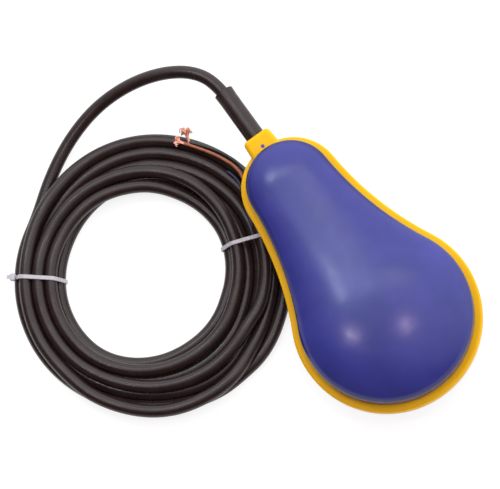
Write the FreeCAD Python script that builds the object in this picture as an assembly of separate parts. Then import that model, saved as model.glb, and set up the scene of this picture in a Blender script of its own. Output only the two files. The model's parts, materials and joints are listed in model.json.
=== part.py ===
"""Tethered float switch: a pear-shaped float of two shells in a moulded band, with its coiled cable.

Units are millimetres. +Y runs along the float from its bulb to its cable, and +Z is up.
The origin is under the middle of the float, on the surface that the float rests on.
Float parts are drawn about the float's middle plane, and lifted to their height when they are saved.
"""

import FreeCAD
import Part
import math
import os

# Outline of the float, seen from above: a bulb and a neck circle joined by hollow sides.
BULB_R = 56.8
NECK_R = 31.1
WAIST_R = 195.0
CENTRE_GAP = 97.7
BULB_Y = -57.9
NECK_Y = BULB_Y + CENTRE_GAP

# Outlines inside the band's: each mm inwards moves the neck's circle this much forwards.
NECK_LEAN = 0.17

# Shells.
BAND_MARGIN = 4.5
SHELL_WALL = 2.2
SHELL_MARGIN = BAND_MARGIN + SHELL_WALL
FLANGE_MARGIN = 2.0
FLANGE_T = 1.5
WALL_H = 12.6
DOME_SQUASH = 0.3295
INNER_SQUASH = 0.300
REST_CUT = 0.3
SHELL_TOP = WALL_H + DOME_SQUASH * (BULB_R - BAND_MARGIN)
Z_MID = SHELL_TOP - REST_CUT
NECK_FRONT = NECK_Y + NECK_R - (1 - NECK_LEAN) * BAND_MARGIN

# Moulded band and its collar.
BAND_HALF = 4.6
BAND_ROUND = 1.3
COLLAR_HALF_H = 7.8
COLLAR_FRONT_HALF_W = 9.0
COLLAR_BACK_HALF_W = 10.4
COLLAR_FRONT = 79.0
COLLAR_BACK = NECK_FRONT - 8.0
COLLAR_ROUND = 2.8
PIN_Y = 70.3
PIN_R = 1.2

# Cable and what it enters through.
CABLE_D = 8.0
CABLE_R = CABLE_D / 2
BOOT_R = 5.95
BOOT_MOUTH_R = 6.2
BOOT_MOUTH_Y = 114.0
BOOT_BORE_MOUTH_R = 5.1
BOOT_FLANGE_R = 6.9
BOOT_BACK = NECK_FRONT + 0.5
BOOT_FLANGE_FRONT = BOOT_BACK + 2.4
BOOT_GROOVE_R = 4.9
STUB_FRONT = 103.0
STUB_BACK = 40.0
GROMMET_R = 5.6
GROMMET_FLANGE_R = 7.2
GROMMET_BACK = 60.2
GROMMET_FLANGE_T = 2.0
POTTING_BACK = 49.0
POTTING_HALF_W = 9.0
POTTING_TOP = 8.0
CORE_R = 1.2
CORE_PITCH_R = 1.5

# Cable clamp.
CLAMP_Y = (41.5, 47.5)
CLAMP_HALF_W = 11.0
CLAMP_TOP = 6.2
CLAMP_SCREW_X = 8.0
CLAMP_SCREW_TIP = -10.0

# Switch capsule.
CAPSULE_Y = (-40.0, 14.0)
CAPSULE_HALF_W = 18.0
CAPSULE_HALF_H = 15.0
CAVITY_Y = (-38.0, 12.0)
CAVITY_HALF_W = 13.0
CAVITY_FLOOR = -13.0
CAPSULE_ROUND = 3.0
GASKET_Z = (12.0, 13.0)
LID_LIP_Z = 11.5
LID_LIP_T = 1.2
LUG_LENGTH = 7.0
LUG_HALF_W = 5.0
LUG_T = 3.0
LUG_SCREW_TIP = -18.3
LID_SCREW_X = 15.5
LID_SCREW_Y = (-34.0, 8.0)
LID_SCREW_TIP = 3.0
SEAL_SLOT_HALF = (3.0, 5.0)
SEAL_FLANGE_HALF = (4.5, 6.5)
SEAL_FLANGE_T = 1.2
WIRE_PITCH = 3.2

# Ballast.
BALLAST_Y = (-97.0, -73.0)
BALLAST_HALF_W = 22.0
BALLAST_Z = (-14.0, -2.0)
BALLAST_SCREW_X = 14.0
BALLAST_SCREW_TIP = -21.0
BOSS_R = 4.0

# Rolling ball and its track.
BALL_R = 5.5
BALL_Z = -5.0
TRACK_BORE_R = BALL_R + 0.25
TRACK_R = 7.5
TRACK_STOP_GAP = 0.05
TRACK_STOP_T = 1.5
TRACK_FOOT_HALF_W = 5.0

# Lever, and its hinge on the switch's face.
HINGE_Y = -16.0
HINGE_Z = BALL_Z + 14.0
LEVER_LENGTH = 18.5
LEVER_T = 0.4
LEVER_HALF_W = 2.0
LEVER_SWING = 22.0
LEVER_GAP = 0.05
LEVER_EYE_R = 0.9
LEVER_PIN_R = 0.45
RUNNING_GAP = 0.05
BALL_Y = HINGE_Y - (BALL_R + LEVER_T / 2 + LEVER_GAP
                    + (HINGE_Z - BALL_Z) * math.sin(math.radians(LEVER_SWING))) \
    / math.cos(math.radians(LEVER_SWING))
TRACK_Y = (BALL_Y - BALL_R - TRACK_STOP_GAP - TRACK_STOP_T, HINGE_Y - 3.0)
TROUGH_Y = HINGE_Y - 8.2

# Snap switch.
SWITCH_Y = (HINGE_Y + 1.2, HINGE_Y + 11.4)
SWITCH_Z = (-9.4, 10.4)
SWITCH_HALF_W = 3.2
SWITCH_WALL = 0.9
CHAMBER_Y = (SWITCH_Y[0] + SWITCH_WALL, SWITCH_Y[0] + 5.9)
CHAMBER_Z = (SWITCH_Z[0] + SWITCH_WALL, SWITCH_Z[1] - SWITCH_WALL)
LUG_EAR_T = 0.8
RIVET_Y = SWITCH_Y[0] + 7.6
RIVET_Z = (-4.25, 5.25)
RIVET_R = 1.1
RIVET_HEAD_R = 1.8
RIVET_HEAD_T = 0.5
BRACKET_T = 1.8
BRACKET_TOP = 8.0
PLUNGER_Z = HINGE_Z - 3.2
PLUNGER_R = 1.0
PLUNGER_TIP = HINGE_Y - 0.95
PLUNGER_ROD_R = 0.6
BLADE_Y = -12.0
BLADE_T = 0.3
BLADE_Z = (-7.5, 8.6)
BLADE_HALF_W = 1.6
CONTACT_Z = 7.9
CONTACT_R = 0.9
CONTACT_T = 0.4
STRIP_T = 0.4
STRIP_HALF_W = 1.2
OPEN_STRIP_Y = BLADE_Y + 2.1
CLOSED_STRIP_Y = BLADE_Y - 0.6
OPEN_TAB_Z = 0.3
CLOSED_TAB_Z = 9.2
COMMON_TAB_Z = -7.9
TAB_LENGTH = 4.0
CRIMP_FRONT = 2.0
CRIMP_HALF_W = 1.8
CRIMP_HALF_H = 1.3
TERMINAL_Z = {"black": OPEN_TAB_Z, "blue": CLOSED_TAB_Z, "brown": COMMON_TAB_Z}

# Free cable: the points of its route from the boot to the coil, and the coil's ring.
COIL_CENTRE = (-99.3, 51.0)
COIL_R = 86.0
COIL_HOLE_R = 48.9
COIL_HOLE_CENTRE = (COIL_CENTRE[0] - 5.3, COIL_CENTRE[1] + 3.5)
COIL_MIDDLE_HEIGHT = 11.6
COIL_SLOPE = 0.0395
COIL_HIGH_SIDE = 146.0
COIL_CHAMFER = 2.0
LEAD_POINTS = (
    (0.0, STUB_FRONT, Z_MID),
    (0.0, 120.0, Z_MID),
    (-7.0, 135.5, 28.5),
    (-22.5, 147.8, 25.0),
    (-44.0, 156.2, 19.0),
    (-69.0, 158.4, 12.5),
    (-94.0, 152.6, 7.6),
    (-117.0, 140.6, 4.6),
    (-137.4, 124.4, 4.2),
)

# Stripped cores: they leave the cable's end under the float's rim and lie along its outer turn.
CORE_ROUTES = {
    "brown": ((-30.0, 40.0, 10.2), (-26.6, 52.0, 9.6), (-21.4, 63.5, 9.6), (-19.6, 74.5, 9.9),
              (-23.4, 85.5, 10.4), (-29.8, 96.8, 10.9), (-37.4, 107.6, 11.6)),
    "black": ((-27.0, 40.0, 10.0), (-22.8, 53.0, 9.0), (-18.0, 64.0, 8.6), (-16.3, 75.5, 8.8),
              (-20.3, 87.0, 9.4), (-26.4, 97.8, 9.8), (-33.3, 107.6, 10.2)),
    "blue": ((-33.0, 40.0, 10.2), (-29.9, 52.0, 9.8), (-24.4, 62.5, 9.8), (-23.0, 71.5, 10.0),
             (-26.0, 80.5, 10.3)),
}
TUFT_ENDS = {"brown": (-40.8, 115.0, 13.0), "black": (-33.2, 115.6, 12.4)}
TUFT_R = 0.8

# Cable ties.
TIE_WIDTH = 2.5
TIE_T = 1.1
TIE_ANGLES = {"left": 146.0, "right": -17.3}
TIE_HOLES = {
    "left": ((54.4, 1.1), (85.4, 1.1), (85.4, 12.6), (81.5, 14.9), (58.5, 14.9), (54.4, 12.6)),
    "right": ((42.6, 1.1), (83.0, 1.1), (83.0, 8.2), (73.0, 14.0), (60.0, 14.0), (42.6, 9.2)),
}
TIE_HEAD = (3.6, 4.4, 4.6)


def vec(x, y, z):
    """A point or a direction."""
    return FreeCAD.Vector(x, y, z)


def block(x0, x1, y0, y1, z0, z1):
    """A box between two corners."""
    return Part.makeBox(x1 - x0, y1 - y0, z1 - z0, vec(x0, y0, z0))


def rod_y(x, z, y0, y1, radius):
    """A round bar along Y."""
    return Part.makeCylinder(radius, y1 - y0, vec(x, y0, z), vec(0, 1, 0))


def rod_z(x, y, z0, z1, radius):
    """An upright round bar."""
    return Part.makeCylinder(radius, z1 - z0, vec(x, y, z0), vec(0, 0, 1))


def rod_x(y, z, x0, x1, radius):
    """A round bar along X."""
    return Part.makeCylinder(radius, x1 - x0, vec(x0, y, z), vec(1, 0, 0))


def ring_y(profile):
    """A solid turned about the cable's axis from (radius, y) corners."""
    corners = [vec(radius, y, 0) for radius, y in profile]
    face = Part.Face(Part.makePolygon(corners + corners[:1]))
    return face.revolve(vec(0, 0, 0), vec(0, 1, 0), 360)


def screw(x, y, seat_z, tip_z, radius):
    """A slotted cheese-head screw whose head sits on seat_z and whose shank ends at tip_z."""
    head_h = 1.3 * radius
    head_r = 1.8 * radius
    head = rod_z(x, y, seat_z, seat_z + head_h, head_r)
    slot = block(x - head_r, x + head_r, y - 0.2 * radius, y + 0.2 * radius,
                 seat_z + 0.5 * head_h, seat_z + head_h)
    return head.cut(slot).fuse(rod_z(x, y, tip_z, seat_z, radius))


def arc(centre, start, end):
    """The shorter arc about centre from start to end."""
    middle = (start - centre) + (end - centre)
    middle.normalize()
    via = centre + middle * (start - centre).Length
    return Part.Arc(start, via, end).toShape()


def side_edges(margin):
    """The float's outline on the side where x is above 0, moved inwards by margin."""
    to_bulb = BULB_R + WAIST_R
    to_neck = NECK_R + WAIST_R
    gap = CENTRE_GAP + NECK_LEAN * margin
    along = (to_bulb ** 2 - to_neck ** 2 + gap ** 2) / (2 * gap)
    across = math.sqrt(to_bulb ** 2 - along ** 2)
    bulb = vec(0, BULB_Y, 0)
    neck = vec(0, BULB_Y + gap, 0)
    waist = vec(across, BULB_Y + along, 0)
    bulb_touch = bulb + (waist - bulb) * ((BULB_R - margin) / to_bulb)
    neck_touch = neck + (waist - neck) * ((NECK_R - margin) / to_neck)
    bulb_end = vec(0, BULB_Y - BULB_R + margin, 0)
    neck_end = vec(0, BULB_Y + gap + NECK_R - margin, 0)
    return [arc(bulb, bulb_end, bulb_touch), arc(waist, bulb_touch, neck_touch),
            arc(neck, neck_touch, neck_end)]


def plate(margin, z0, z1):
    """A flat plate of the float's outline, moved inwards by margin."""
    right = side_edges(margin)
    left = [edge.mirror(vec(0, 0, 0), vec(1, 0, 0)) for edge in right]
    wire = Part.Wire(Part.__sortEdges__(right + left))
    face = Part.Face(wire)
    face.translate(vec(0, 0, z0))
    return face.extrude(vec(0, 0, z1 - z0))


def cap(margin, squash):
    """The space under one dome: an upright wall WALL_H high under a flattened turned shape."""
    edges = side_edges(margin)
    axis = Part.LineSegment(edges[-1].Vertexes[-1].Point, edges[0].Vertexes[0].Point).toShape()
    half = Part.Face(Part.Wire(Part.__sortEdges__(edges + [axis])))
    dome = half.revolve(vec(0, 0, 0), vec(0, 1, 0), -180)
    flatten = FreeCAD.Matrix()
    flatten.scale(1, 1, squash)
    dome = dome.transformGeometry(flatten)
    dome.translate(vec(0, 0, WALL_H))
    base = [face for face in dome.Faces if face.BoundBox.ZLength < 0.001]
    for face in base:
        dome = dome.fuse(face.extrude(vec(0, 0, -WALL_H)))
    return dome.removeSplitter()


def below(shape):
    """The same shape under the middle plane."""
    return shape.mirror(vec(0, 0, 0), vec(0, 0, 1))


def shell():
    """One hollow shell, with the flange that the band grips, drawn above the middle plane."""
    outer = cap(BAND_MARGIN, DOME_SQUASH)
    inner = cap(SHELL_MARGIN, INNER_SQUASH)
    flange = plate(FLANGE_MARGIN, 0, FLANGE_T).cut(plate(SHELL_MARGIN, 0, FLANGE_T))
    return outer.cut(inner).fuse(flange).cut(gland_hole()).cut(cable_boot_space())


def gland_hole():
    """The hole through the shells' front wall that the grommet fills."""
    return rod_y(0, 0, GROMMET_BACK, BOOT_BACK, GROMMET_R)


def upper_shell():
    """The shell above the middle plane."""
    return shell()


def lug_screw_ys():
    """Where the capsule's two fixing screws stand along the float."""
    return (CAPSULE_Y[0] - LUG_LENGTH / 2, CAPSULE_Y[1] + LUG_LENGTH / 2)


def lower_shell():
    """The shell below the middle plane, with the bosses that carry what is inside, and its rest face."""
    outer = below(cap(BAND_MARGIN, DOME_SQUASH))
    bosses = [block(-CLAMP_HALF_W, CLAMP_HALF_W, *CLAMP_Y, -SHELL_TOP, -CABLE_R)]
    for y in lug_screw_ys():
        bosses.append(rod_z(0, y, -SHELL_TOP, -CAPSULE_HALF_H, BOSS_R))
    middle = sum(BALLAST_Y) / 2
    for x in (-BALLAST_SCREW_X, BALLAST_SCREW_X):
        bosses.append(rod_z(x, middle, -SHELL_TOP, BALLAST_Z[0], BOSS_R))
    body = below(shell())
    for boss in bosses:
        body = body.fuse(outer.common(boss))
    for pilot in clamp_screws() + mount_screws() + ballast_screws():
        body = body.cut(pilot)
    rest_plane = block(-BULB_R, BULB_R, BULB_Y - BULB_R, NECK_Y, -SHELL_TOP - 1, -SHELL_TOP + REST_CUT)
    return body.cut(rest_plane)


def seal_band():
    """The band moulded round both flanges, with the collar that holds the boot."""
    band = plate(0, -BAND_HALF, BAND_HALF)
    rims = [edge for edge in band.Edges if edge.BoundBox.ZLength < 0.001]
    band = band.makeFillet(BAND_ROUND, rims)
    band = band.fuse(collar()).removeSplitter()
    band = band.cut(plate(BAND_MARGIN, -COLLAR_HALF_H, COLLAR_HALF_H))
    band = band.cut(plate(FLANGE_MARGIN, -FLANGE_T, FLANGE_T))
    for gap in (gland_hole(), cable_boot_space(), boot_lock_pins()):
        band = band.cut(gap)
    return band


def collar():
    """The block in front of the neck that holds the boot, wider where it meets the band."""
    corners = [vec(-COLLAR_BACK_HALF_W, COLLAR_BACK, -COLLAR_HALF_H),
               vec(COLLAR_BACK_HALF_W, COLLAR_BACK, -COLLAR_HALF_H),
               vec(COLLAR_FRONT_HALF_W, COLLAR_FRONT, -COLLAR_HALF_H),
               vec(-COLLAR_FRONT_HALF_W, COLLAR_FRONT, -COLLAR_HALF_H)]
    base = Part.Face(Part.makePolygon(corners + corners[:1]))
    body = base.extrude(vec(0, 0, 2 * COLLAR_HALF_H))
    outside = [edge for edge in body.Edges if edge.BoundBox.YMax > COLLAR_FRONT - 0.001]
    return body.makeFillet(COLLAR_ROUND, outside)


def cable_boot_space():
    """The boot's outside, filled."""
    return ring_y(((0, BOOT_BACK), (BOOT_FLANGE_R, BOOT_BACK), (BOOT_FLANGE_R, BOOT_FLANGE_FRONT),
                   (BOOT_R, BOOT_FLANGE_FRONT), (BOOT_R, BOOT_MOUTH_Y - 6), (BOOT_MOUTH_R, BOOT_MOUTH_Y),
                   (0, BOOT_MOUTH_Y)))


def cable_boot():
    """The rubber sleeve that the cable leaves through: flange, tube and widened mouth."""
    bore = ring_y(((0, BOOT_BACK), (CABLE_R, BOOT_BACK), (CABLE_R, STUB_FRONT),
                   (BOOT_BORE_MOUTH_R, BOOT_MOUTH_Y), (0, BOOT_MOUTH_Y)))
    body = cable_boot_space().cut(bore).cut(boot_lock_pins())
    lip = [edge for edge in body.Edges
           if edge.BoundBox.YMin > BOOT_MOUTH_Y - 0.001 and edge.BoundBox.XMax > BOOT_MOUTH_R - 0.01]
    return body.makeFillet(0.35, lip)


def boot_lock_pins():
    """Two short pins that go through the collar into the boot, above and below the cable."""
    pin = rod_z(0, PIN_Y, BOOT_GROOVE_R, COLLAR_HALF_H, PIN_R)
    return Part.makeCompound([pin, below(pin)])


def gland_grommet():
    """The rubber ring round the cable in the shells' front wall."""
    seat = GROMMET_BACK + GROMMET_FLANGE_T
    return ring_y(((CABLE_R, GROMMET_BACK), (GROMMET_FLANGE_R, GROMMET_BACK), (GROMMET_FLANGE_R, seat),
                   (GROMMET_R, seat), (GROMMET_R, BOOT_BACK), (CABLE_R, BOOT_BACK)))


def potting_plug():
    """The resin cast round the cable behind the grommet, filling the bottom of the neck."""
    cast = block(-POTTING_HALF_W, POTTING_HALF_W, POTTING_BACK, GROMMET_BACK, -SHELL_TOP, POTTING_TOP)
    space = below(cap(SHELL_MARGIN, INNER_SQUASH)).fuse(plate(SHELL_MARGIN, 0, POTTING_TOP))
    return cast.common(space).cut(cable_entry())


def cable_entry():
    """The cable that the float holds, from the boot back to where its sheath is stripped."""
    return rod_y(0, 0, STUB_BACK, STUB_FRONT, CABLE_R)


def cable_clamp():
    """The saddle that holds the cable down on its boss."""
    saddle = block(-CLAMP_HALF_W, CLAMP_HALF_W, *CLAMP_Y, -CABLE_R, CLAMP_TOP)
    saddle = saddle.cut(block(-CABLE_R, CABLE_R, *CLAMP_Y, -CABLE_R, 0)).cut(cable_entry())
    for fastener in clamp_screws():
        saddle = saddle.cut(fastener)
    return saddle


def clamp_screws():
    """Two screws through the saddle."""
    middle = sum(CLAMP_Y) / 2
    return [screw(x, middle, CLAMP_TOP, CLAMP_SCREW_TIP, 1.25) for x in (-CLAMP_SCREW_X, CLAMP_SCREW_X)]


def mount_screws():
    """Two screws that hold the capsule's lugs to the lower shell."""
    seat = -CAPSULE_HALF_H + LUG_T
    return [screw(0, y, seat, LUG_SCREW_TIP, 1.5) for y in lug_screw_ys()]


def ballast_screws():
    """Two screws through the ballast."""
    middle = sum(BALLAST_Y) / 2
    return [screw(x, middle, BALLAST_Z[1], BALLAST_SCREW_TIP, 1.5)
            for x in (-BALLAST_SCREW_X, BALLAST_SCREW_X)]


def lid_screws():
    """Four screws that close the capsule."""
    return [screw(x, y, CAPSULE_HALF_H, LID_SCREW_TIP, 1.1)
            for x in (-LID_SCREW_X, LID_SCREW_X) for y in LID_SCREW_Y]


def ballast_weight():
    """The cast weight in the bulb."""
    weight = block(-BALLAST_HALF_W, BALLAST_HALF_W, *BALLAST_Y, *BALLAST_Z)
    weight = weight.makeFillet(2.0, [edge for edge in weight.Edges if edge.BoundBox.ZLength > 1])
    for fastener in ballast_screws():
        weight = weight.cut(fastener)
    return weight


def rounded_block(half_w, y0, y1, z0, z1, radius):
    """A box with rounded upright edges, centred across the float."""
    body = block(-half_w, half_w, y0, y1, z0, z1)
    return body.makeFillet(radius, [edge for edge in body.Edges if edge.BoundBox.ZLength > 0.5])


def capsule_cavity(z0, z1):
    """The capsule's inner space between two heights."""
    return block(-CAVITY_HALF_W, CAVITY_HALF_W, *CAVITY_Y, z0, z1)


def capsule_body():
    """The open box that holds the switch, with a lug at each end and a slot for the wires."""
    body = rounded_block(CAPSULE_HALF_W, *CAPSULE_Y, -CAPSULE_HALF_H, GASKET_Z[0], CAPSULE_ROUND)
    lug_top = -CAPSULE_HALF_H + LUG_T
    lugs = block(-LUG_HALF_W, LUG_HALF_W, CAPSULE_Y[0] - LUG_LENGTH, CAPSULE_Y[1] + LUG_LENGTH,
                 -CAPSULE_HALF_H, lug_top)
    body = body.fuse(lugs).cut(capsule_cavity(CAVITY_FLOOR, GASKET_Z[0]))
    half_x, half_z = SEAL_SLOT_HALF
    body = body.cut(block(-half_x, half_x, CAVITY_Y[1], CAPSULE_Y[1], -half_z, half_z))
    for fastener in lid_screws() + mount_screws():
        body = body.cut(fastener)
    return body


def capsule_gasket():
    """The flat seal between the capsule's box and its lid."""
    seal = rounded_block(CAPSULE_HALF_W, *CAPSULE_Y, *GASKET_Z, CAPSULE_ROUND)
    seal = seal.cut(capsule_cavity(*GASKET_Z))
    for fastener in lid_screws():
        seal = seal.cut(fastener)
    return seal


def capsule_lid():
    """The capsule's lid, with a lip that finds the box's inside."""
    lid = rounded_block(CAPSULE_HALF_W, *CAPSULE_Y, GASKET_Z[1], CAPSULE_HALF_H, CAPSULE_ROUND)
    lip_half = CAVITY_HALF_W - 0.1
    lip = block(-lip_half, lip_half, CAVITY_Y[0] + 0.1, CAVITY_Y[1] - 0.1, LID_LIP_Z, GASKET_Z[1])
    inside = lip_half - LID_LIP_T
    lip = lip.cut(block(-inside, inside, CAVITY_Y[0] + 0.1 + LID_LIP_T, CAVITY_Y[1] - 0.1 - LID_LIP_T,
                        LID_LIP_Z, GASKET_Z[1]))
    lid = lid.fuse(lip)
    for fastener in lid_screws():
        lid = lid.cut(fastener)
    return lid


def wire_seal():
    """The rubber plug that the three wires leave the capsule through."""
    half_x, half_z = SEAL_SLOT_HALF
    plug = block(-half_x, half_x, CAVITY_Y[1], CAPSULE_Y[1], -half_z, half_z)
    half_x, half_z = SEAL_FLANGE_HALF
    plug = plug.fuse(block(-half_x, half_x, CAPSULE_Y[1], CAPSULE_Y[1] + SEAL_FLANGE_T, -half_z, half_z))
    for row in (-1, 0, 1):
        plug = plug.cut(rod_y(0, row * WIRE_PITCH, CAVITY_Y[1], CAPSULE_Y[1] + SEAL_FLANGE_T, CORE_R))
    return plug


def ball_track():
    """The ball's tube, closed at the bulb end and cut down to a trough where the lever hangs in."""
    y0, y1 = TRACK_Y
    track = rod_y(0, BALL_Z, y0, y1, TRACK_R)
    track = track.fuse(block(-TRACK_FOOT_HALF_W, TRACK_FOOT_HALF_W, y0, y1, CAVITY_FLOOR, BALL_Z - BALL_R))
    track = track.cut(rod_y(0, BALL_Z, y0 + TRACK_STOP_T, y1, TRACK_BORE_R))
    return track.cut(block(-TRACK_R, TRACK_R, TROUGH_Y, y1, BALL_Z, BALL_Z + TRACK_R))


def steel_ball():
    """The ball that rolls to the lever when the bulb rises."""
    return Part.makeSphere(BALL_R, vec(0, BALL_Y, BALL_Z))


def lever_pin():
    """The pin that the lever swings on."""
    reach = LEVER_HALF_W + LEVER_EYE_R
    return rod_x(HINGE_Y, HINGE_Z, -reach, reach, LEVER_PIN_R)


def actuator_lever():
    """The flat lever, hanging from its pin and leaning towards the ball."""
    arm = block(-LEVER_HALF_W, LEVER_HALF_W, HINGE_Y - LEVER_T / 2, HINGE_Y + LEVER_T / 2,
                HINGE_Z - LEVER_LENGTH, HINGE_Z)
    arm = arm.fuse(rod_x(HINGE_Y, HINGE_Z, -LEVER_HALF_W, LEVER_HALF_W, LEVER_EYE_R))
    arm = arm.cut(rod_x(HINGE_Y, HINGE_Z, -LEVER_HALF_W, LEVER_HALF_W, LEVER_PIN_R + RUNNING_GAP))
    arm.rotate(vec(0, HINGE_Y, HINGE_Z), vec(1, 0, 0), -LEVER_SWING)
    return arm


def plunger():
    """The domed button between the lever and the contact blade."""
    dome = Part.makeSphere(PLUNGER_R, vec(0, PLUNGER_TIP + PLUNGER_R, PLUNGER_Z))
    shoulder = CHAMBER_Y[0] + 0.2
    stem = rod_y(0, PLUNGER_Z, PLUNGER_TIP + PLUNGER_R, shoulder, PLUNGER_R)
    blade_face = BLADE_Y - BLADE_T / 2 - 2 * RUNNING_GAP
    tip = rod_y(0, PLUNGER_Z, shoulder, blade_face, PLUNGER_ROD_R)
    return dome.fuse(stem).fuse(tip).removeSplitter()


def contact_blade():
    """The sprung blade that carries the moving contact."""
    leaf = block(-BLADE_HALF_W, BLADE_HALF_W, BLADE_Y - BLADE_T / 2, BLADE_Y + BLADE_T / 2, *BLADE_Z)
    foot = rod_x(BLADE_Y, BLADE_Z[0], -BLADE_HALF_W, BLADE_HALF_W, BLADE_T / 2)
    reach = BLADE_T / 2 + CONTACT_T
    return leaf.fuse(foot).fuse(rod_y(0, CONTACT_Z, BLADE_Y - reach, BLADE_Y + reach, CONTACT_R))


def switch_case():
    """The snap switch's body, with its chamber, hinge ears and holes."""
    case = block(-SWITCH_HALF_W + SWITCH_WALL, SWITCH_HALF_W, *SWITCH_Y, *SWITCH_Z)
    chamber_half = SWITCH_HALF_W - SWITCH_WALL
    case = case.cut(block(-chamber_half, chamber_half, *CHAMBER_Y, *CHAMBER_Z))
    for side in (-1, 1):
        inner = side * (LEVER_HALF_W + 0.1)
        outer = side * (LEVER_HALF_W + 0.1 + LUG_EAR_T)
        x0, x1 = sorted((inner, outer))
        x0 = max(x0, -SWITCH_HALF_W + SWITCH_WALL)
        ear = block(x0, x1, HINGE_Y - LEVER_EYE_R, SWITCH_Y[0], HINGE_Z - LEVER_EYE_R, SWITCH_Z[1])
        case = case.fuse(ear)
    case = case.cut(lever_pin())
    case = case.cut(rod_y(0, PLUNGER_Z, SWITCH_Y[0], CHAMBER_Y[0], PLUNGER_R + RUNNING_GAP))
    for other in (open_terminal(), closed_terminal(), common_terminal(), switch_rivets()):
        case = case.cut(other)
    return case


def switch_cover():
    """The side plate that closes the snap switch."""
    cover = block(-SWITCH_HALF_W, -SWITCH_HALF_W + SWITCH_WALL, *SWITCH_Y, *SWITCH_Z)
    return cover.cut(switch_rivets())


def switch_bracket():
    """The foot and side plate that hold the snap switch up in the capsule."""
    y0, y1 = SWITCH_Y[0] + 0.8, SWITCH_Y[1] - 0.8
    foot = block(-SWITCH_HALF_W, SWITCH_HALF_W + BRACKET_T, y0, y1, CAVITY_FLOOR, SWITCH_Z[0])
    side = block(SWITCH_HALF_W, SWITCH_HALF_W + BRACKET_T, y0, y1, SWITCH_Z[0], BRACKET_TOP)
    return foot.fuse(side).removeSplitter().cut(switch_rivets())


def switch_rivets():
    """Two rivets through the snap switch and its bracket."""
    far = SWITCH_HALF_W + BRACKET_T
    rivets = []
    for z in RIVET_Z:
        rivet = rod_x(RIVET_Y, z, -SWITCH_HALF_W, far, RIVET_R)
        for x in (-SWITCH_HALF_W - RIVET_HEAD_T, far):
            rivet = rivet.fuse(rod_x(RIVET_Y, z, x, x + RIVET_HEAD_T, RIVET_HEAD_R))
        rivets.append(rivet)
    return Part.makeCompound(rivets)


def tab(z, y0):
    """A terminal's strip, from y0 out of the switch's back."""
    return block(-STRIP_HALF_W, STRIP_HALF_W, y0, SWITCH_Y[1] + TAB_LENGTH, z - STRIP_T / 2, z + STRIP_T / 2)


def open_terminal():
    """The terminal that the blade reaches when the lever is pressed."""
    upright = block(-STRIP_HALF_W, STRIP_HALF_W, OPEN_STRIP_Y, OPEN_STRIP_Y + STRIP_T,
                    OPEN_TAB_Z - STRIP_T / 2, CONTACT_Z + CONTACT_R)
    return upright.fuse(tab(OPEN_TAB_Z, OPEN_STRIP_Y)).removeSplitter()


def closed_terminal():
    """The terminal that the blade rests on."""
    upright = block(-STRIP_HALF_W, STRIP_HALF_W, CLOSED_STRIP_Y - STRIP_T, CLOSED_STRIP_Y,
                    CONTACT_Z - CONTACT_R, CLOSED_TAB_Z + STRIP_T / 2)
    return upright.fuse(tab(CLOSED_TAB_Z, CLOSED_STRIP_Y - STRIP_T)).removeSplitter()


def common_terminal():
    """The terminal that the blade stands on."""
    return tab(COMMON_TAB_Z, BLADE_Y - 0.6)


def crimp_receptacles():
    """The push-on sleeves that join the wires to the three tabs."""
    sleeves = []
    for z in TERMINAL_Z.values():
        sleeve = block(-CRIMP_HALF_W, CRIMP_HALF_W, SWITCH_Y[1] + 0.4, CRIMP_FRONT,
                       z - CRIMP_HALF_H, z + CRIMP_HALF_H)
        sleeves.append(sleeve.cut(tab(z, SWITCH_Y[1])))
    return Part.makeCompound(sleeves)


def tube(points, radius):
    """A round tube along straight runs, with the largest arc that each corner's two runs allow."""
    corners = [vec(*point) for point in points]
    edges = []
    radii = []
    here = corners[0]
    for before, corner, after in zip(corners, corners[1:], corners[2:]):
        back = before - corner
        ahead = after - corner
        reach = 0.45 * min(back.Length, ahead.Length)
        turn = math.pi - back.getAngle(ahead)
        radii.append(reach / math.tan(turn / 2))
        back.normalize()
        ahead.normalize()
        start = corner + back * reach
        end = corner + ahead * reach
        inward = back + ahead
        inward.normalize()
        centre = corner + inward * math.hypot(reach, radii[-1])
        edges.append(Part.LineSegment(here, start).toShape())
        edges.append(arc(centre, start, end))
        here = end
    edges.append(Part.LineSegment(here, corners[-1]).toShape())
    path = Part.Wire(edges)
    direction = corners[1] - corners[0]
    section = Part.Wire(Part.makeCircle(radius, corners[0], direction))
    solid = path.makePipeShell([section], True, True)
    return solid, path.Length, radii


def inner_wire(colour):
    """One wire inside the float, from its receptacle through the seal to the cable's stripped end."""
    angle, row = {"blue": (90, 1), "black": (-30, 0), "brown": (210, -1)}[colour]
    z0 = TERMINAL_Z[colour]
    z1 = row * WIRE_PITCH
    end_x = CORE_PITCH_R * math.cos(math.radians(angle))
    end_z = CORE_PITCH_R * math.sin(math.radians(angle))
    route = ((0, CRIMP_FRONT, z0), (0, CRIMP_FRONT + 2, z0), (0, CAVITY_Y[1] - 3.6, z1),
             (0, CAPSULE_Y[1] + 5, z1), (1.7 * end_x, CAPSULE_Y[1] + 12, 0.35 * z1 + end_z),
             (end_x, STUB_BACK - 7, end_z), (end_x, STUB_BACK, end_z))
    return tube(route, CORE_R)[0]


def cable_lead():
    """The free cable from the boot to the coil, laid down in one long bend."""
    solid, length, radii = tube(LEAD_POINTS, CABLE_R)
    section = math.pi * CABLE_R ** 2
    print("lead length %.1f, arc radii %s" % (length, " ".join("%.0f" % r for r in radii)))
    print("lead volume %.0f, section times length %.0f" % (solid.Volume, section * length))
    return solid


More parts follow.
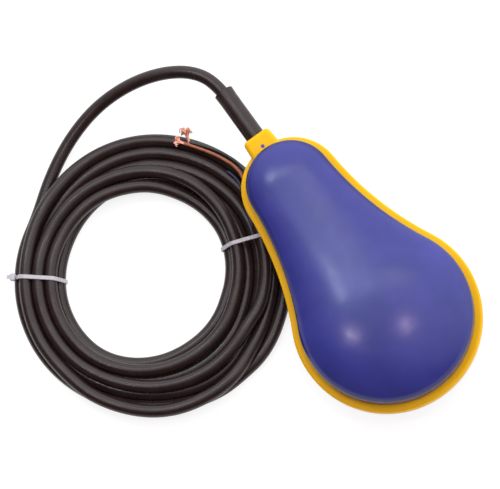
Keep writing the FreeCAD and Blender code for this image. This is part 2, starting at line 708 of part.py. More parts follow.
def cable_coil(ties):
    """The closed outer shape of the coiled cable, lower towards the float, grooved for the ties' straps."""
    full = COIL_MIDDLE_HEIGHT + 2 * COIL_SLOPE * COIL_R
    ring = Part.makeCylinder(COIL_R, full, vec(*COIL_CENTRE, 0))
    ring = ring.cut(Part.makeCylinder(COIL_HOLE_R, full, vec(*COIL_HOLE_CENTRE, 0)))
    above = Part.makeBox(4 * COIL_R, 4 * COIL_R, 2 * full, vec(-2 * COIL_R, -2 * COIL_R, 0))
    above.rotate(vec(0, 0, 0), vec(0, 1, 0), -math.degrees(math.atan(COIL_SLOPE)))
    above.rotate(vec(0, 0, 0), vec(0, 0, 1), COIL_HIGH_SIDE)
    above.translate(vec(*COIL_CENTRE, COIL_MIDDLE_HEIGHT))
    ring = ring.cut(above)
    rims = [edge for edge in ring.Edges if edge.BoundBox.DiagonalLength > 2 * COIL_HOLE_R]
    ring = ring.makeChamfer(COIL_CHAMFER, rims)
    for tie in ties:
        ring = ring.cut(tie)
    return ring


def cable_tie(side):
    """A nylon strap round the coil, with its square head outside."""
    corners = [vec(r, -TIE_WIDTH / 2, z) for r, z in TIE_HOLES[side]]
    hole = Part.Face(Part.makePolygon(corners + corners[:1]))
    along = vec(0, TIE_WIDTH, 0)
    strap = hole.makeOffset2D(TIE_T).extrude(along)
    head_x, head_y, head_z = TIE_HEAD
    outer, height = TIE_HOLES[side][1][0], TIE_HOLES[side][2][1]
    head = block(outer + TIE_T / 2, outer + TIE_T / 2 + head_x, -head_y / 2, head_y / 2,
                 height / 2 - head_z / 2, height / 2 + head_z / 2)
    strap = strap.fuse(head).cut(hole.extrude(along))
    strap.rotate(vec(0, 0, 0), vec(0, 0, 1), TIE_ANGLES[side])
    strap.translate(vec(*COIL_CENTRE, 0))
    return strap


def core(colour):
    """One stripped core lying on the coil."""
    return tube(CORE_ROUTES[colour], CORE_R)[0]


def core_strands():
    """The bare copper at the ends of the brown and black cores."""
    tufts = []
    for colour, end in TUFT_ENDS.items():
        start = vec(*CORE_ROUTES[colour][-1])
        run = vec(*end) - start
        tufts.append(Part.makeCylinder(TUFT_R, run.Length, start, run))
    return Part.makeCompound(tufts)


def save(name, shape, lift=0.0):
    """Write one node, lifted to its height."""
    solid = shape.copy()
    solid.translate(vec(0, 0, lift))
    solid.exportStep("parts/%s.step" % name)


def main():
    """Make every node of the float switch."""
    os.makedirs("parts", exist_ok=True)
    float_nodes = {
        "upper_shell": upper_shell(),
        "lower_shell": lower_shell(),
        "seal_band": seal_band(),
        "boot_lock_pins": boot_lock_pins(),
        "cable_boot": cable_boot(),
        "gland_grommet": gland_grommet(),
        "potting_plug": potting_plug(),
        "cable_entry": cable_entry(),
        "cable_clamp": cable_clamp(),
        "clamp_screws": Part.makeCompound(clamp_screws()),
        "capsule_body": capsule_body(),
        "capsule_gasket": capsule_gasket(),
        "capsule_lid": capsule_lid(),
        "lid_screws": Part.makeCompound(lid_screws()),
        "mount_screws": Part.makeCompound(mount_screws()),
        "wire_seal": wire_seal(),
        "ball_track": ball_track(),
        "steel_ball": steel_ball(),
        "lever_pin": lever_pin(),
        "actuator_lever": actuator_lever(),
        "plunger": plunger(),
        "contact_blade": contact_blade(),
        "switch_case": switch_case(),
        "switch_cover": switch_cover(),
        "switch_bracket": switch_bracket(),
        "switch_rivets": switch_rivets(),
        "open_terminal": open_terminal(),
        "closed_terminal": closed_terminal(),
        "common_terminal": common_terminal(),
        "crimp_receptacles": crimp_receptacles(),
        "ballast_weight": ballast_weight(),
        "ballast_screws": Part.makeCompound(ballast_screws()),
    }
    for colour in TERMINAL_Z:
        float_nodes["inner_wire_%s" % colour] = inner_wire(colour)
    for name, shape in float_nodes.items():
        save(name, shape, Z_MID)

    ties = {side: cable_tie(side) for side in TIE_ANGLES}
    for side, shape in ties.items():
        save("cable_tie_%s" % side, shape)
    for colour in CORE_ROUTES:
        save("core_%s" % colour, core(colour))
    save("core_strands", core_strands())
    save("cable_coil", cable_coil(ties.values()))
    save("cable_lead", cable_lead())
    print("ball starts at y %.3f and height %.3f" % (BALL_Y, Z_MID + BALL_Z))
    print("middle plane at %.3f" % Z_MID)


main()
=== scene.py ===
"""The looks of a tethered float switch with its coiled cable, in metres, in the part's own frame.

+Y runs along the float from its bulb to its cable, and +Z is up.
"""

import json
import math
import random

import bmesh
import bpy
import numpy as np
from mathutils import Matrix, Vector


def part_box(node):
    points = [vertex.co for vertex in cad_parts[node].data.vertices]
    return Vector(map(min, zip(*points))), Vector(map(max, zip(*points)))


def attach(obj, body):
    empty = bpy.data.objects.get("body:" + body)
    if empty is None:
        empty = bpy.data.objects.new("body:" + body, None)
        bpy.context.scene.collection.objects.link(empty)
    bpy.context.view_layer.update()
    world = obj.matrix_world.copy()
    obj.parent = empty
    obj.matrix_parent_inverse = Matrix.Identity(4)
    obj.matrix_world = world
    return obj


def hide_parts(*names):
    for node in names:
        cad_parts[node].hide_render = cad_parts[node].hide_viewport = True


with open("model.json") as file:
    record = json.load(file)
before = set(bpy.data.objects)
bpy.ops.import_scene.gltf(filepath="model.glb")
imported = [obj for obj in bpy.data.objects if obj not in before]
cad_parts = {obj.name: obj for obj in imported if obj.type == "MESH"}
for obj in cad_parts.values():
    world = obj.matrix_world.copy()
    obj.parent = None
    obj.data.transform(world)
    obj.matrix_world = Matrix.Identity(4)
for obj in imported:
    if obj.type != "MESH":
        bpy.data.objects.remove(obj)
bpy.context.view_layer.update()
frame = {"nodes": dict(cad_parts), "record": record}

NODES = frame["nodes"]
BODY = "float"
MM = 0.001

# The float's middle plane, from the frame.
BAND_LOW, BAND_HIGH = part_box("seal_band")
MID_Z = (BAND_LOW[2] + BAND_HIGH[2]) / 2

# The cable and its route from the boot to the coil.
CABLE_D = 8.0 * MM
CABLE_R = CABLE_D / 2
LEAD_POINTS = (
    (0.0, 0.103, 0.02953),
    (0.0, 0.12, 0.02953),
    (-0.007, 0.1355, 0.0285),
    (-0.0225, 0.1478, 0.025),
    (-0.044, 0.1562, 0.019),
    (-0.069, 0.1584, 0.0125),
    (-0.094, 0.1526, 0.0076),
    (-0.117, 0.1406, 0.0046),
    (-0.1374, 0.1244, 0.0042),
)

# The coil's middle, and its outer and inner edges in mm at the angles where its oval changes.
COIL_CENTRE = Vector((-0.1014, 0.0532, 0.0))
COIL_RIM = (
    (0, 87, 48), (60, 87, 52), (120, 84, 53), (200, 83, 54), (265, 89, 46), (310, 86, 44), (360, 87, 48),
)
COIL_STEP_DEG = 10.0
# How far a turn lies above the turns that it rests between, and the coil above the floor.
LEVEL_RISE = 0.87 * CABLE_D
LIFT = 0.05 * MM
# The winding by its total angle: its place, from 0 at the outer edge to 1 at the inner edge, and
# its level above the floor.
LAY = (
    (118, 0.0, 0.0), (146, 0.0, 0.0), (190, 0.03, 0.0), (240, 0.12, 0.0), (276, 0.06, 0.0),
    (292, 0.0, 0.0), (343, 0.0, 0.0), (410, 0.0, 0.0), (440, 0.0, 0.3), (470, 0.07, 1.1),
    (506, 0.18, 1.0), (545, 0.08, 1.0), (572, -0.04, 0.95), (600, -0.05, 0.9), (622, 0.02, 1.05),
    (636, 0.06, 1.0), (650, 0.15, 0.5), (664, 0.19, 0.05), (703, 0.2, 0.0), (770, 0.23, 0.0),
    (866, 0.33, 0.0), (930, 0.32, 0.0), (984, 0.27, 0.0), (1000, 0.30, 0.0), (1014, 0.37, 0.0),
    (1026, 0.41, 0.0), (1063, 0.41, 0.0), (1130, 0.47, 0.0), (1226, 0.72, 0.0), (1320, 0.60, 0.0),
    (1345, 0.60, 0.0), (1380, 0.60, 0.0), (1423, 0.62, 0.0), (1490, 0.75, 0.0), (1586, 1.0, 0.0),
    (1680, 0.97, 0.0), (1783, 0.97, 0.0), (1830, 1.0, 0.4), (1858, 1.0, 0.9), (1900, 0.9, 1.0),
    (1946, 0.84, 1.0), (2040, 0.81, 1.0), (2100, 0.785, 1.0), (2143, 0.79, 1.0), (2210, 0.71, 1.0),
    (2306, 0.5, 1.0), (2370, 0.48, 1.0), (2405, 0.43, 1.0), (2455, 0.42, 1.0), (2470, 0.31, 1.0),
    (2503, 0.31, 1.0), (2512, 0.315, 1.0),
)
# How far the turns wander from their place, in two waves of which the first starts off its middle.
SWAY = 0.6 * MM
SWAY_WAVES = (2.37, 0.61)
SWAY_START = 1.1

# The settling of the turns: the points next to each other that may touch, the gap between turns,
# and what part of an overlap, a drift or a kink is taken back in each round.
SETTLE_ROUNDS = 300
OWN_POINTS = 8
TURN_GAP = 1.004
PUSH = 0.35
PULL = (0.02, 0.02, 0.004)
SINK = 0.02 * MM
EASE = 0.3

# The ties, by their angle round the coil, and how far each strap is turned from a square crossing.
TIE_DEG = {"left": 146.0, "right": -17.3}
TIE_TURN_DEG = {"left": -5.5, "right": -3.0}
TIE_WIDTH = 2.5 * MM
TIE_T = 1.0 * MM
TIE_EDGE = 0.25 * MM
TIE_RIDGE = 0.12 * MM
TIE_STEP = 1.1 * MM
TIE_SLACK = 0.05 * MM
TIE_HEAD_DROP = 2.0 * MM
TIE_HEAD_ROUND = 0.45 * MM
# The ratchet head, its mouth and the strap's cut tail, in mm: how far out from the strap and how
# far above the head's middle each one's own middle is, and its size.
HEAD_BOX = ((1.5, 0.0), (3.4, 4.4, 4.4))
MOUTH_BOX = ((3.3, 0.0), (0.5, 3.0, 1.9))
TAIL_BOX = ((4.2, 0.2), (2.4, 2.3, 0.9))
# The turns rise by this much over a strap, fully up to the first angle and not at all past the second.
TIE_RIDE = TIE_T + 0.2 * MM
TIE_REACH_DEG = (8.0, 22.0)

# The stripped cores, with their routes in mm, and the bare copper strands.
CORE_R = 1.0 * MM
STRAND_R = 0.36 * MM
BUNDLE_R = 0.75 * MM
STRAND_TURN = 2.4
STRAND_ROOT = 1.0 * MM
# A strand's points, each by its share of the strand's length, of its lobe's width and of its rise.
STRAND_CURL = ((0.25, 0.0, 0.0), (0.65, 0.2, 0.5), (1.0, 0.7, 1.0), (0.95, 1.3, 1.0), (0.7, 1.4, 0.8))
CORE_ROUTES = {
    "brown": ((-30.0, 40.0, 10.2), (-26.6, 52.0, 9.6), (-21.4, 63.5, 9.6), (-19.6, 74.5, 9.9),
              (-23.4, 85.5, 10.2), (-29.8, 96.8, 10.3), (-37.6, 107.8, 10.0)),
    "black": ((-27.0, 40.0, 10.0), (-22.8, 53.0, 9.0), (-18.0, 64.0, 8.6), (-16.7, 75.5, 8.8),
              (-20.7, 86.8, 9.1), (-27.0, 97.4, 9.3), (-34.6, 106.6, 10.0)),
    "blue": ((-33.0, 40.0, 10.2), (-29.9, 52.0, 9.4), (-24.8, 62.5, 8.6), (-23.6, 71.5, 8.4),
             (-25.8, 77.5, 8.4)),
}

# The camera, above the object and tilted towards the bulb.
VIEW_TARGET = Vector((-0.04063, 0.0273, 0.02965))
VIEW_TILT = math.radians(13.0)
VIEW_ROLL = math.radians(54.4)
VIEW_DISTANCE = 1.8
VIEW_WIDTH = 0.300
SENSOR = 36.0

# The room's light by direction: the bright side, and the range over which it goes from dark to bright.
BRIGHT_SIDE = (0.80, 0.48, 0.36)
ROOM_RANGE = (-0.25, 0.8)
ROOM_LEVEL = (0.06, 1.72)
ROOM_WARM = (1.0, 0.42, 0.2, 1.0)
ROOM_WHITE = (1.0, 1.0, 1.0, 1.0)
# The lamps: direction, distance, size, power in watts and colour. The strip's long side runs along
# STRIP_ALONG.
WHITE, COOL, COLD = (1.0, 1.0, 1.0), (0.75, 0.9, 1.0), (0.62, 0.84, 1.0)
LAMPS = {
    "window": ((-0.04, 0.38, 0.92), 1.3, (0.56, 0.40), 0.75, COLD),
    "hot_spot": ((-0.13, 0.47, 0.87), 1.3, (0.15, 0.11), 1.1, COOL),
    "strip": ((0.20, 0.34, 0.92), 1.3, (0.85, 0.24), 1.0, WHITE),
    "lamp_left": ((-0.287, 0.107, 0.93), 1.5, (0.08, 0.08), 1.7, (1.0, 0.84, 0.95)),
    "lamp_right": ((0.14, -0.09, 0.98), 1.5, (0.08, 0.08), 1.3, (1.0, 0.72, 0.88)),
}
STRIP_ALONG = Vector((0.63, -0.32, -0.02))

# The floor, just below the object: grey, with a glow of its own.
FLOOR_DROP = 0.1 * MM
FLOOR_HALF = 3.0
FLOOR_GREY = 0.30
FLOOR_ROUGH = 0.8
FLOOR_GLOW = 0.82


def smooth(x):
    """0 to 1 with level ends."""
    x = min(max(x, 0.0), 1.0)
    return x * x * (3 - 2 * x)


def lay_at(degrees):
    """The place and level of the winding at a total angle."""
    for (a0, place0, level0), (a1, place1, level1) in zip(LAY, LAY[1:]):
        if degrees <= a1:
            part = smooth((degrees - a0) / (a1 - a0))
            return place0 + part * (place1 - place0), level0 + part * (level1 - level0)
    return LAY[-1][1:]


def rim_at(degrees):
    """The outer and inner radius of the coil's strands' middles at an angle."""
    angles = [row[0] for row in COIL_RIM]
    outer = np.interp(degrees % 360.0, angles, [row[1] for row in COIL_RIM])
    inner = np.interp(degrees % 360.0, angles, [row[2] for row in COIL_RIM])
    return float(outer) * MM - CABLE_R, float(inner) * MM + CABLE_R


def rest_height(degrees):
    """The height of the winding's underside: it lies on the floor, and rides over each tie's strap."""
    near, far = TIE_REACH_DEG
    away = min(abs((degrees - tie + 180.0) % 360.0 - 180.0) for tie in TIE_DEG.values())
    return LIFT + TIE_RIDE * (1.0 - smooth((away - near) / (far - near)))


def coil_point(degrees):
    """The winding's point at a total angle."""
    place, level = lay_at(degrees)
    outer, inner = rim_at(degrees)
    angle = math.radians(degrees)
    sway = SWAY * math.sin(SWAY_WAVES[0] * angle + SWAY_START) * math.sin(SWAY_WAVES[1] * angle)
    radius = outer + place * (inner - outer) + sway
    spot = COIL_CENTRE + Vector((math.cos(angle), math.sin(angle), 0.0)) * radius
    return (spot.x, spot.y, CABLE_R + rest_height(degrees) + level * LEVEL_RISE)


def settle(points, fixed):
    """Moves a winding's points apart where its turns lie in each other, and keeps them off the floor."""
    home = np.array(points)
    bearing = np.degrees(np.arctan2(home[:, 1] - COIL_CENTRE.y, home[:, 0] - COIL_CENTRE.x))
    low = CABLE_R + np.array([rest_height(degrees) for degrees in bearing])
    place = home.copy()
    count = len(place)
    apart = np.abs(np.subtract.outer(np.arange(count), np.arange(count))) > OWN_POINTS
    free = np.ones((count, 1))
    free[:fixed] = 0.0
    for _ in range(SETTLE_ROUNDS):
        gap = place[:, None, :] - place[None, :, :]
        far = np.linalg.norm(gap, axis=2) + 1e-9
        deep = np.where(apart, np.clip(CABLE_D * TURN_GAP - far, 0.0, None), 0.0)
        push = (gap * (deep / far)[:, :, None]).sum(axis=1) * PUSH
        pull = (home - place) * np.array(PULL)
        place = place + (push + pull) * free
        place[:, 2] -= SINK * free[:, 0]
        drift = place - home
        eased = drift.copy()
        eased[1:-1] = 0.5 * drift[1:-1] + 0.25 * (drift[:-2] + drift[2:])
        place = home + drift * (1 - EASE * free) + eased * EASE * free
        place[:, 2] = np.maximum(place[:, 2], low)
    return [tuple(point) for point in place]


def winding():
    """All the cable's control points, from the boot to its cut end."""
    turns = []
    degrees = LAY[0][0] + COIL_STEP_DEG
    while degrees < LAY[-1][0]:
        turns.append(coil_point(degrees))
        degrees += COIL_STEP_DEG
    points = list(LEAD_POINTS) + turns
    return settle(points, len(LEAD_POINTS) - 2)


def link(obj):
    """Adds an object to the scene."""
    bpy.context.scene.collection.objects.link(obj)
    return obj


def tube_curve(name, radius, sides, resolution):
    """A curve whose splines are round tubes."""
    curve = bpy.data.curves.new(name, "CURVE")
    curve.dimensions = "3D"
    curve.bevel_depth = radius
    curve.bevel_resolution = sides
    curve.resolution_u = resolution
    curve.use_fill_caps = True
    return curve


def add_spline(curve, points):
    """Adds a smooth spline through its control points' polygon."""
    spline = curve.splines.new("NURBS")
    spline.points.add(len(points) - 1)
    for slot, point in zip(spline.points, points):
        slot.co = (*point, 1.0)
    spline.order_u = 3
    spline.use_endpoint_u = True


def spline_piece(name, points, radius, sides, resolution):
    """A round tube along one spline."""
    curve = tube_curve(name, radius, sides, resolution)
    add_spline(curve, points)
    return link(bpy.data.objects.new(name, curve))


def measure_curve(obj):
    """The length of a curve object's own line, and the points along it."""
    bare = obj.data.copy()
    bare.bevel_depth = 0.0
    holder = bpy.data.objects.new("measure", bare)
    mesh = bpy.data.meshes.new_from_object(holder)
    total = sum((mesh.vertices[e.vertices[0]].co - mesh.vertices[e.vertices[1]].co).length
                for e in mesh.edges)
    line = [v.co.copy() for v in mesh.vertices]
    bpy.data.meshes.remove(mesh)
    bpy.data.objects.remove(holder)
    bpy.data.curves.remove(bare)
    return total, line


def make_camera():
    """The camera, tilted from straight above towards the bulb's end."""
    back = Vector((0.0, -math.sin(VIEW_TILT), math.cos(VIEW_TILT)))
    along = Vector((0.0, math.cos(VIEW_TILT), math.sin(VIEW_TILT)))
    up = Vector((math.cos(VIEW_ROLL), 0.0, 0.0)) + along * math.sin(VIEW_ROLL)
    right = up.cross(back)
    data = bpy.data.cameras.new("camera")
    data.sensor_width = SENSOR
    data.lens = SENSOR * VIEW_DISTANCE / VIEW_WIDTH
    camera = link(bpy.data.objects.new("camera", data))
    turn = Matrix((right, up, back)).transposed().to_4x4()
    camera.matrix_world = Matrix.Translation(VIEW_TARGET + back * VIEW_DISTANCE) @ turn
    bpy.context.scene.camera = camera


def make_lamp(name):
    """One of the soft lamps, facing the middle of the object."""
    direction, distance, size, energy, colour = LAMPS[name]
    light = bpy.data.lights.new(name, "AREA")
    light.shape = "ELLIPSE"
    light.size, light.size_y = size
    light.energy = energy
    light.color = colour
    lamp = link(bpy.data.objects.new(name, light))
    lamp.location = VIEW_TARGET + Vector(direction).normalized() * distance
    aim = VIEW_TARGET - lamp.location
    lamp.rotation_euler = aim.to_track_quat("-Z", "Y").to_euler()
    return lamp


def turn_strip(strip):
    """Turns the strip's long side along the neck's end of the bulb."""
    back = (strip.location - VIEW_TARGET).normalized()
    along = (STRIP_ALONG - back * STRIP_ALONG.dot(back)).normalized()
    turn = Matrix((along, back.cross(along), back)).transposed().to_4x4()
    strip.matrix_world = Matrix.Translation(strip.location) @ turn


def make_room():
    """A room that is bright beyond the neck, and warm and dark behind the bulb."""
    world = bpy.data.worlds.new("world")
    bpy.context.scene.world = world
    world.use_nodes = True
    tree = world.node_tree
    background = tree.nodes["Background"]
    direction = tree.nodes.new("ShaderNodeTexCoord").outputs["Generated"]
    facing = tree.nodes.new("ShaderNodeVectorMath")
    facing.operation = "DOT_PRODUCT"
    facing.inputs[1].default_value = BRIGHT_SIDE
    tree.links.new(direction, facing.inputs[0])
    level = tree.nodes.new("ShaderNodeMapRange")
    level.interpolation_type = "SMOOTHSTEP"
    level.inputs["From Min"].default_value, level.inputs["From Max"].default_value = ROOM_RANGE
    level.inputs["To Min"].default_value, level.inputs["To Max"].default_value = ROOM_LEVEL
    tree.links.new(facing.outputs["Value"], level.inputs["Value"])
    tree.links.new(level.outputs["Result"], background.inputs["Strength"])
    tint = tree.nodes.new("ShaderNodeValToRGB")
    warm, plain = tint.color_ramp.elements
    warm.position = 0.0
    warm.color = ROOM_WARM
    plain.position = 0.5
    plain.color = ROOM_WHITE
    tree.links.new(level.outputs["Result"], tint.inputs["Fac"])
    tree.links.new(tint.outputs["Color"], background.inputs["Color"])


def make_lights():
    """The room's own light and the lamps."""
    make_room()
    lamps = {name: make_lamp(name) for name in LAMPS}
    turn_strip(lamps["strip"])


def make_floor():
    """The plain floor, white where nothing shades it."""
    mesh = bpy.data.meshes.new("floor")
    build = bmesh.new()
    bmesh.ops.create_grid(build, x_segments=1, y_segments=1, size=FLOOR_HALF)
    build.to_mesh(mesh)
    build.free()
    floor = link(bpy.data.objects.new("floor", mesh))
    floor.location.z = -FLOOR_DROP
    mat = bpy.data.materials.new("floor")
    mat.use_nodes = True
    shader = mat.node_tree.nodes["Principled BSDF"]
    shader.inputs["Base Color"].default_value = (FLOOR_GREY, FLOOR_GREY, FLOOR_GREY, 1.0)
    shader.inputs["Roughness"].default_value = FLOOR_ROUGH
    shader.inputs["Emission Color"].default_value = (1.0, 1.0, 1.0, 1.0)
    shader.inputs["Emission Strength"].default_value = FLOOR_GLOW
    mesh.materials.append(mat)


class Nodes:
    """A material's node tree with short ways to add and join nodes."""

    def __init__(self, name):
        self.material = bpy.data.materials.new(name)
        self.material.use_nodes = True
        self.tree = self.material.node_tree
        self.shader = self.tree.nodes["Principled BSDF"]
        self.coords = self.tree.nodes.new("ShaderNodeTexCoord").outputs["Object"]

    def set(self, **values):
        """Sets the shader's own sockets, with _ for spaces."""
        for key, value in values.items():
            self.shader.inputs[key.replace("_", " ")].default_value = value

    def noise(self, size, detail, rough=0.5):
        """Noise whose patches are about size metres across."""
        node = self.tree.nodes.new("ShaderNodeTexNoise")
        node.inputs["Scale"].default_value = 1.0 / size
        node.inputs["Detail"].default_value = detail
        node.inputs["Roughness"].default_value = rough
        self.tree.links.new(self.coords, node.inputs["Vector"])
        return node.outputs["Fac"]

    def ramp(self, value, stops):
        """A colour ramp over a value, from (position, colour) stops."""
        node = self.tree.nodes.new("ShaderNodeValToRGB")
        ramp = node.color_ramp
        for index, (position, colour) in enumerate(stops):
            element = ramp.elements[index] if index < 2 else ramp.elements.new(position)
            element.position = position
            element.color = (*colour, 1.0)
        self.tree.links.new(value, node.inputs["Fac"])
        return node.outputs["Color"]

    def maths(self, operation, value, other=0.0):
        """One operation on a value, with a fixed number where it takes one."""
        node = self.tree.nodes.new("ShaderNodeMath")
        node.operation = operation
        self.tree.links.new(value, node.inputs[0])
        node.inputs[1].default_value = other
        return node.outputs["Value"]

    def times(self, colour, factor):
        """One colour multiplied by another."""
        node = self.tree.nodes.new("ShaderNodeVectorMath")
        node.operation = "MULTIPLY"
        self.tree.links.new(colour, node.inputs[0])
        self.tree.links.new(factor, node.inputs[1])
        return node.outputs["Vector"]

    def spread(self, value, low, high):
        """A noise value, which stays near its middle, spread from low to high."""
        node = self.tree.nodes.new("ShaderNodeMapRange")
        node.inputs["From Min"].default_value = 0.3
        node.inputs["From Max"].default_value = 0.7
        node.inputs["To Min"].default_value = low
        node.inputs["To Max"].default_value = high
        self.tree.links.new(value, node.inputs["Value"])
        return node.outputs["Result"]

    def join(self, output, name):
        """Joins an output to one of the shader's sockets."""
        self.tree.links.new(output, self.shader.inputs[name])

    def bump(self, height, depth, strength, normal=None):
        """A bump of that depth in metres; returns its normal."""
        node = self.tree.nodes.new("ShaderNodeBump")
        node.inputs["Distance"].default_value = depth
        node.inputs["Strength"].default_value = strength
        self.tree.links.new(height, node.inputs["Height"])
        if normal:
            self.tree.links.new(normal, node.inputs["Normal"])
        self.tree.links.new(node.outputs["Normal"], self.shader.inputs["Normal"])
        return node.outputs["Normal"]


def moulded(name, dark, light, rough, patch, grain, grain_depth, specular=0.5, paint_shoulder_shade=False):
    """Moulded plastic: faint clouding, uneven gloss and a fine moulded skin, with a painted shade line
    at the shells' shoulders where asked.
    """
    mat = Nodes(name)
    colour = mat.ramp(mat.noise(patch, 3.0, 0.55), ((0.3, dark), (0.7, light)))
    # Painted shade: darkens the colour along the shoulder crease.
    if paint_shoulder_shade:
        colour = mat.times(colour, shoulder_shade(mat))
    mat.join(colour, "Base Color")
    mat.join(mat.spread(mat.noise(patch * 0.35, 3.0), rough - 0.04, rough + 0.05), "Roughness")
    wide = mat.bump(mat.noise(patch * 0.8, 0.0), 0.12 * MM, 0.5)
    mat.bump(mat.noise(grain, 0.0), grain_depth, 0.6, wide)
    mat.set(Specular_IOR_Level=specular)
    return mat.material


def shoulder_shade(mat):
    """Painted shade: a dark line round both shells where their domes meet their walls, standing in for
    the shade that falls in that crease.
    """
    height = mat.tree.nodes.new("ShaderNodeSeparateXYZ")
    mat.tree.links.new(mat.coords, height.inputs[0])
    above = mat.maths("SUBTRACT", height.outputs["Z"], MID_Z)
    part = mat.maths("MULTIPLY", mat.maths("ABSOLUTE", above), 1 / (20 * MM))
    # deep is the painted shade's colour, multiplied into the shells' own colour near the shoulder.
    plain, deep = (1.0, 1.0, 1.0), (0.22, 0.2, 0.34)
    return mat.ramp(part, ((0.5, plain), (0.6, deep), (0.72, deep), (0.86, plain)))


def sheath():
    """Black rubber cable sheath: brown-black, with a dull bloom and a fine uneven skin."""
    mat = Nodes("sheath")
    bloom = mat.noise(14 * MM, 4.0, 0.6)
    dark, light = (0.020, 0.0112, 0.0104), (0.033, 0.0195, 0.0187)
    mat.join(mat.ramp(bloom, ((0.3, dark), (0.72, light))), "Base Color")
    mat.join(mat.spread(mat.noise(5 * MM, 3.0), 0.22, 0.32), "Roughness")
    mat.bump(mat.noise(0.7 * MM, 3.0), 0.05 * MM, 0.5)
    mat.set(Specular_IOR_Level=0.38)
    return mat.material


def metal(name, dark, light, rough):
    """Metal with a fine uneven surface."""
    mat = Nodes(name)
    mat.join(mat.ramp(mat.noise(2 * MM, 4.0), ((0.3, dark), (0.7, light))), "Base Color")
    mat.join(mat.spread(mat.noise(0.8 * MM, 3.0), rough - 0.06, rough + 0.08), "Roughness")
    mat.bump(mat.noise(0.3 * MM, 2.0), 0.01 * MM, 0.4)
    mat.set(Metallic=1.0)
    return mat.material


def make_materials():
    """One material for each of the record's slots."""
    return {
        # The blue shells carry a painted shade line at their shoulders.
        "blue_shell": moulded("blue_shell", (0.034, 0.038, 0.225), (0.046, 0.050, 0.285), 0.22,
                              26 * MM, 1.8 * MM, 0.01 * MM, 0.36, True),
        "yellow_band": moulded("yellow_band", (0.93, 0.485, 0.001), (0.98, 0.525, 0.002), 0.42,
                               18 * MM, 1.4 * MM, 0.02 * MM, 0.15),
        "black_rubber": sheath(),
        "seal_rubber": moulded("seal_rubber", (0.03, 0.03, 0.03), (0.05, 0.05, 0.05), 0.6,
                               5 * MM, 0.4 * MM, 0.04 * MM),
        "potting_resin": moulded("potting_resin", (0.03, 0.03, 0.035), (0.05, 0.05, 0.06), 0.25,
                                 6 * MM, 1.5 * MM, 0.05 * MM),
        "capsule_plastic": moulded("capsule_plastic", (0.62, 0.61, 0.56), (0.72, 0.71, 0.67), 0.4,
                                   9 * MM, 0.5 * MM, 0.02 * MM),
        "switch_plastic": moulded("switch_plastic", (0.03, 0.03, 0.033), (0.05, 0.05, 0.055), 0.42,
                                  4 * MM, 0.3 * MM, 0.02 * MM),
        "button_plastic": moulded("button_plastic", (0.50, 0.03, 0.02), (0.62, 0.05, 0.03), 0.35,
                                  1 * MM, 0.2 * MM, 0.01 * MM),
        "nylon_tie": moulded("nylon_tie", (0.48, 0.46, 0.50), (0.58, 0.56, 0.60), 0.38,
                             2 * MM, 0.3 * MM, 0.02 * MM),
        "steel": metal("steel", (0.45, 0.45, 0.46), (0.62, 0.62, 0.63), 0.3),
        "ball_steel": metal("ball_steel", (0.70, 0.71, 0.72), (0.78, 0.79, 0.80), 0.12),
        "cast_weight": metal("cast_weight", (0.10, 0.10, 0.105), (0.18, 0.18, 0.185), 0.6),
        "contact_brass": metal("contact_brass", (0.66, 0.47, 0.20), (0.80, 0.62, 0.30), 0.28),
        "copper": metal("copper", (0.78, 0.34, 0.24), (0.94, 0.55, 0.42), 0.34),
        "core_brown": moulded("core_brown", (0.30, 0.085, 0.035), (0.42, 0.14, 0.06), 0.36,
                              2 * MM, 0.3 * MM, 0.01 * MM),
        "core_black": moulded("core_black", (0.012, 0.012, 0.012), (0.025, 0.025, 0.025), 0.36,
                              2 * MM, 0.3 * MM, 0.01 * MM),
        "core_blue": moulded("core_blue", (0.016, 0.014, 0.050), (0.025, 0.022, 0.075), 0.45,
                             2 * MM, 0.3 * MM, 0.01 * MM),
    }


def dress(obj, slot):
    """Gives a piece its slot's material."""
    obj.data.materials.clear()
    obj.data.materials.append(MATERIALS[slot])


def dress_nodes():
    """Gives every CAD node its slot's material."""
    for part in frame["record"]["subparts"]:
        dress(NODES[part["node"]], part["material_slot"])


def make_cable():
    """The free cable from the boot to its cut end, in one piece."""
    cable = spline_piece("cable", winding(), CABLE_R, 7, 6)
    dress(cable, "black_rubber")
    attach(cable, BODY)
    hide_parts("cable_lead", "cable_coil")
    return cable


def strands_at(degrees, line):
    """Where the cable crosses a half plane through the coil's middle, as (radius, height) pairs."""
    angle = math.radians(degrees)
    out = Vector((math.cos(angle), math.sin(angle), 0.0))
    side = Vector((-out.y, out.x, 0.0))
    found = []
    for a, b in zip(line, line[1:]):
        da, db = side.dot(a - COIL_CENTRE), side.dot(b - COIL_CENTRE)
        if da < 0 <= db and out.dot(a - COIL_CENTRE) > 0:
            spot = a.lerp(b, da / (da - db)) - COIL_CENTRE
            found.append((out.dot(spot), spot.z))
    return found


def hull(points):
    """The convex outline of flat points, anticlockwise."""
    points = sorted(points)

    def chain(row):
        kept = []
        for point in row:
            while len(kept) > 1:
                (ax, ay), (bx, by) = kept[-2:]
                if (bx - ax) * (point[1] - ay) - (by - ay) * (point[0] - ax) > 0:
                    break
                kept.pop()
            kept.append(point)
        return kept[:-1]

    return chain(points) + chain(points[::-1])


def even_loop(corners, step):
    """The same closed loop in even steps."""
    ring = corners + corners[:1]
    reach = [0.0]
    for a, b in zip(ring, ring[1:]):
        reach.append(reach[-1] + math.dist(a, b))
    count = round(reach[-1] / step)
    xs = np.interp(np.linspace(0, reach[-1], count, endpoint=False), reach, [p[0] for p in ring])
    ys = np.interp(np.linspace(0, reach[-1], count, endpoint=False), reach, [p[1] for p in ring])
    return list(zip(xs, ys))


def strap_loop(section):
    """The middle line of a strap pulled tight round the strands of one section."""
    reach = CABLE_R + TIE_T / 2 + TIE_SLACK
    rim = [(x + reach * math.cos(math.radians(a)), z + reach * math.sin(math.radians(a)))
           for x, z in section for a in range(0, 360, 10)]
    return even_loop(hull(rim), TIE_STEP)


